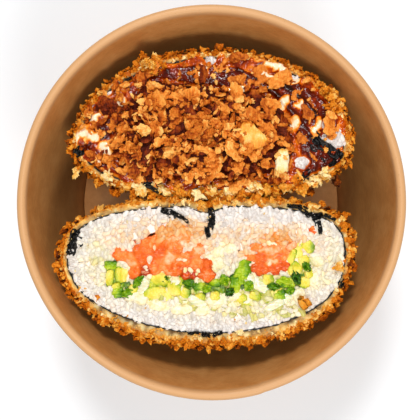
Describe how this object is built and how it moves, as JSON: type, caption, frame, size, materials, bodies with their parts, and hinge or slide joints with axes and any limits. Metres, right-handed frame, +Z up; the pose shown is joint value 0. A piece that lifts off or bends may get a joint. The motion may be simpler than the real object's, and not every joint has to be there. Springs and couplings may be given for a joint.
{
  "type": "sushi burger",
  "caption": "Deep-fried sushi burger cut in half and served in a round kraft paper bowl, one half showing rice and filling, the other under sauce and fried onions",
  "frame": {"origin": "on the surface that the bowl stands on, under the middle of the bowl", "axes": "+Z up, +X to the right and +Y to the back as seen in the picture, with the half that shows its filling at -Y"},
  "size_m": [0.1486, 0.1514, 0.0749],
  "materials": {
    "paper": "uncoated brown kraft board with fine fibres and a faint sheen inside",
    "crust": "golden brown fried breadcrumbs, rough and dry",
    "nori": "moist black seaweed sheet with a dull gloss",
    "rice": "cooked white rice, moist and slightly translucent",
    "salmon": "wet orange salmon with pale fat lines",
    "cream": "smooth soft cream cheese",
    "green": "fresh green vegetable, moist",
    "avocado": "soft yellow-green avocado flesh",
    "onion": "crisp fried onion flakes",
    "onion_pale": "pale crisp fried onion",
    "sauce": "dark glossy soy glaze",
    "mayo": "smooth pale mayonnaise"
  },
  "bodies": {
    "root": {"bowl_wall": "paper", "bowl_floor": "paper", "front_crust": "crust", "front_nori": "nori", "front_rice": "rice", "front_salmon_left": "salmon", "front_salmon_right": "salmon", "front_cream_upper": "cream", "front_cream_lower": "cream", "front_spring_onion": "green", "front_leaf_middle": "green", "front_leaf_right": "green", "front_leaf_left": "green", "front_green_left": "green", "front_bean_left": "green", "front_bean_right": "green", "front_green_lower": "green", "front_avocado_1": "avocado", "front_avocado_2": "avocado", "front_avocado_3": "avocado", "front_avocado_4": "avocado", "front_avocado_5": "avocado", "front_avocado_6": "avocado", "front_avocado_7": "avocado", "front_avocado_8": "avocado", "back_crust": "crust", "back_nori": "nori", "back_rice": "rice", "back_onion_heap": "onion", "back_pale_flake": "onion_pale", "back_white_chip": "onion_pale"}
  },
  "joints": []
}
